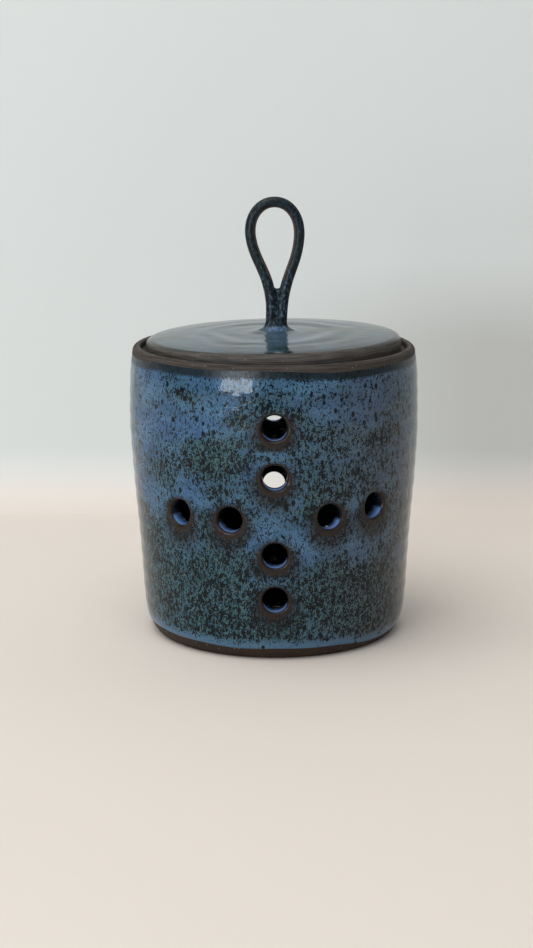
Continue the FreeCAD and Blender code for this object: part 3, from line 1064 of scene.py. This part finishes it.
# %% handle path and coil
# half the distance between the legs, the lean of their middle to one side, and the height
LOOP_SIDE = [(2.1, 1.0, 126.6), (2.1, 1.05, 129.5), (2.12, 1.2, 133.5), (2.3, 1.38, 138.0),
             (3.05, 1.42, 143.0), (4.55, 1.42, 148.6), (6.4, 1.25, 153.4), (8.25, 0.95, 158.2),
             (9.6, 0.62, 163.2), (10.1, 0.4, 168.3), (9.3, 0.32, 173.0), (7.1, 0.3, 176.9),
             (3.9, 0.3, 179.4), (0.0, 0.3, 180.25)]
LOOP_MIDDLE = np.array([0.6, 164.0])
COIL_HALF_WIDTH = 2.05
COIL_HALF_DEPTH = 2.25
COIL_SIDES = 28
LEG_SWELL = 0.06
SWELL_FADE = (136.0, 158.0)


def handle_path():
    left = [(lean - half, height) for half, lean, height in LOOP_SIDE]
    right = [(lean + half, height) for half, lean, height in LOOP_SIDE[-2::-1]]
    return smooth_line(left + right, 0.6)


def path_object(points):
    curve = bpy.data.curves.new("handle_path", "CURVE")
    curve.dimensions = "3D"
    spline = curve.splines.new("POLY")
    spline.points.add(len(points) - 1)
    for knot, (x, z) in zip(spline.points, points):
        knot.co = (x * MM, 0.0, z * MM, 1.0)
        knot.radius = 1.0 + LEG_SWELL * float(1 - ramp(z, *SWELL_FADE))
    return placed("handle_path", curve)


def coil_tree():
    tree, names, source, drain = new_tree("rolled_coil", {
        "Half Width": "Float", "Half Depth": "Float", "Sides": "Int", "Material": "Material"})
    ring = add(tree, "GeometryNodeCurvePrimitiveCircle", Resolution=source["Sides"], Radius=1.0)
    oval = add(tree, "ShaderNodeCombineXYZ", X=source["Half Width"], Y=source["Half Depth"], Z=1.0)
    flat = add(tree, "GeometryNodeTransform", Geometry=ring.outputs[0], Scale=oval.outputs[0])
    swept = add(tree, "GeometryNodeCurveToMesh", Curve=source["Geometry"], Profile_Curve=flat.outputs[0],
                Fill_Caps=True)
    if "Scale" in swept.inputs:
        plug(swept.inputs["Scale"], add(tree, "GeometryNodeInputRadius").outputs[0])
    finish_tree(tree, swept.outputs[0], source["Material"], drain)
    return tree, names


path = handle_path()
print("handle path has", len(path), "points")

# %% [markdown]
# The handle's glaze is nearly black, with blue runs that gather towards the legs. Fired glaze draws back from
# a sharp edge, so the clay shows warm brown along the coil's edges. At the foot it pools pale blue in front.

# %% handle glaze
LOOP_BLACK, LOOP_TEAL, LOOP_BLUE = srgb(6, 14, 18), srgb(18, 40, 48), srgb(76, 98, 116)
WORN_BROWN, FLARE_TEAL, POOL_BLUE = srgb(76, 59, 49), srgb(48, 64, 72), srgb(84, 112, 148)
LOOP_RUN, LOOP_GRAIN, LOOP_PEEL = 0.95, 0.5, 2.5


def handle_material():
    material, tree, shader = surface_material("handle_dark_teal_glaze")
    place = object_millimetres(tree)
    parts = axes(place)
    runs = noise(stretched(place, (1.0, 1.0, 0.55)), LOOP_RUN, 3.0, 0.65)
    fine = noise(place, LOOP_GRAIN, 2.0)
    flare = attribute(tree, "flare")
    legs = soft_step(parts["Z"], 160.0, 142.0)
    worn = plus(attribute(tree, "edge_break"), about_zero(fine, 0.9))
    plug(shader.inputs["Base Color"], coats(
        blend(soft_step(runs, 0.42, 0.62), LOOP_BLACK, LOOP_TEAL),
        (LOOP_BLUE, soft_step(runs, 0.52, 0.68), plus(0.22, times(legs, 0.75))),
        (NIGHT_TEAL, soft_step(fine, 0.52, 0.66), 0.6), (WORN_BROWN, soft_step(worn, 0.55, 0.85), 0.8),
        (FLARE_TEAL, flare, 1), (POOL_BLUE, attribute(tree, "foot_pool"), soft_step(runs, 0.40, 0.60))))
    shiny = soft_step(fine, 0.3, 0.7, 0.34, 0.52)
    plug(shader.inputs["Roughness"], calc("SUBTRACT", shiny, times(flare, 0.08)))
    bump = add(tree, "ShaderNodeBump", Strength=0.3, Distance=0.3 * MM,
               Height=noise(place, LOOP_PEEL, 2.0))
    plug(shader.inputs["Normal"], bump.outputs[0])
    return material


handle_glaze = handle_material()
print(handle_glaze.name, "has", len(handle_glaze.node_tree.nodes), "nodes")

# %% [markdown]
# The foot of the handle is a small flare of clay, brushed out onto the lid: a stack of ovals that shrink fast
# and then hardly at all. The web is a thin slip of clay between the legs. Coil, web and flare are then fused
# by a fine voxel remesh and smoothed, as wet clay is when fingers and a brush press it together.

# %% handle foot, web and fusing
# how far the flare stands proud of the legs, and the height
FOOT_FLARE = [(4.6, 126.5), (3.6, 127.1), (2.7, 127.5), (1.8, 127.95), (1.15, 128.5), (0.65, 129.4),
              (0.3, 130.6), (-0.1, 132.0), (-0.8, 133.0)]
FLARE_MIDDLE, FLARE_HALF_WIDTH, FLARE_HALF_DEPTH = 1.0, 4.1, 2.3
# middle, half width, half depth and height of the web
WEB = [(1.4, 1.9, 0.8, 134.0), (1.4, 2.3, 0.7, 139.0), (1.45, 3.0, 0.7, 143.2), (1.45, 2.8, 0.5, 144.6)]
FLARE_SIDES, WEB_SIDES = 64, 24
VOXEL = 0.27
SMOOTH_TURNS = 6


def oval_stack(name, rows, sides):
    """Closed stack of level ovals: middle, half width, half depth and height of each."""
    turns = [2 * math.pi * side / sides for side in range(sides)]
    return stack_rings(name, [[(middle + wide * math.cos(turn), deep * math.sin(turn), height)
                               for turn in turns] for middle, wide, deep, height in rows])


def fuse(parts, name):
    """Join the wet parts, remesh them as one skin, and smooth the seams."""
    form = bmesh.new()
    for mesh in parts:
        form.from_mesh(mesh)
    joint = bpy.data.meshes.new(name)
    form.to_mesh(joint)
    form.free()
    piece = placed(name, joint)
    skin = piece.modifiers.new("skin", "REMESH")
    skin.mode = "VOXEL"
    skin.voxel_size = VOXEL * MM
    skin.use_smooth_shade = True
    soft = piece.modifiers.new("soft", "SMOOTH")
    soft.factor = 0.5
    soft.iterations = SMOOTH_TURNS
    mesh = frozen(piece, name)
    piece.modifiers.clear()
    piece.data = mesh
    mesh.shade_smooth()
    print(name, "fused into", len(mesh.polygons), "faces")
    return piece


coil = apply_tree(path_object(path), coil_tree(), {
    "Half Width": COIL_HALF_WIDTH * MM, "Half Depth": COIL_HALF_DEPTH * MM, "Sides": COIL_SIDES,
    "Material": handle_glaze}, "handle_coil")
flare = oval_stack("handle_flare", [(FLARE_MIDDLE, FLARE_HALF_WIDTH + proud, FLARE_HALF_DEPTH + proud, height)
                                    for proud, height in FOOT_FLARE], FLARE_SIDES)
web = oval_stack("handle_web", WEB, WEB_SIDES)
handle = fuse([coil.data, flare, web], "lid_handle_loop")
bpy.data.objects.remove(coil)
handle.data.materials.clear()
handle.data.materials.append(handle_glaze)

# %% [markdown]
# Each vertex of the handle now learns how far it is from the coil's middle line, which finds the worn edges,
# and whether it lies on the flare. The inner edge of the loop wears more than the outer one.

# %% mark the handle
EDGE = (0.9, 1.7)
EDGE_RISE = (144.0, 150.0)
OUTER_EDGE_SHARE = 0.55
FLARE_TOP = (128.0, 129.6)
POOL_FRONT = (0.8, 2.4)
POOL_SIDE = (3.4, 4.8)


def mark_handle(mesh):
    """Glaze breaks on the inner and outer edges of the coil and pools at its foot."""
    co = places_of(mesh)
    flat = co[:, [0, 2]]
    nearest = np.full(len(co), 1e3)
    inner = np.zeros(len(co), bool)
    for knot in path:
        away = np.hypot(*(flat - knot).T)
        inwards = (flat - knot) @ (LOOP_MIDDLE - knot) > 0
        inner = np.where(away < nearest, inwards, inner)
        nearest = np.minimum(nearest, away)
    edge = ramp(nearest, *EDGE) * ramp(co[:, 2], *EDGE_RISE)
    mark(mesh, "edge_break", edge * np.where(inner, 1.0, OUTER_EDGE_SHARE))
    flare = 1 - ramp(co[:, 2], *FLARE_TOP)
    sideways = np.abs(co[:, 0] - FLARE_MIDDLE)
    mark(mesh, "flare", flare)
    mark(mesh, "foot_pool", flare * ramp(-co[:, 1], *POOL_FRONT) * (1 - ramp(sideways, *POOL_SIDE)))
    print("worn edge on", round(100 * float(np.mean(edge > 0.5))), "% of the handle's vertices")


mark_handle(handle.data)
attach(handle, "lid")
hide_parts("lid_handle")
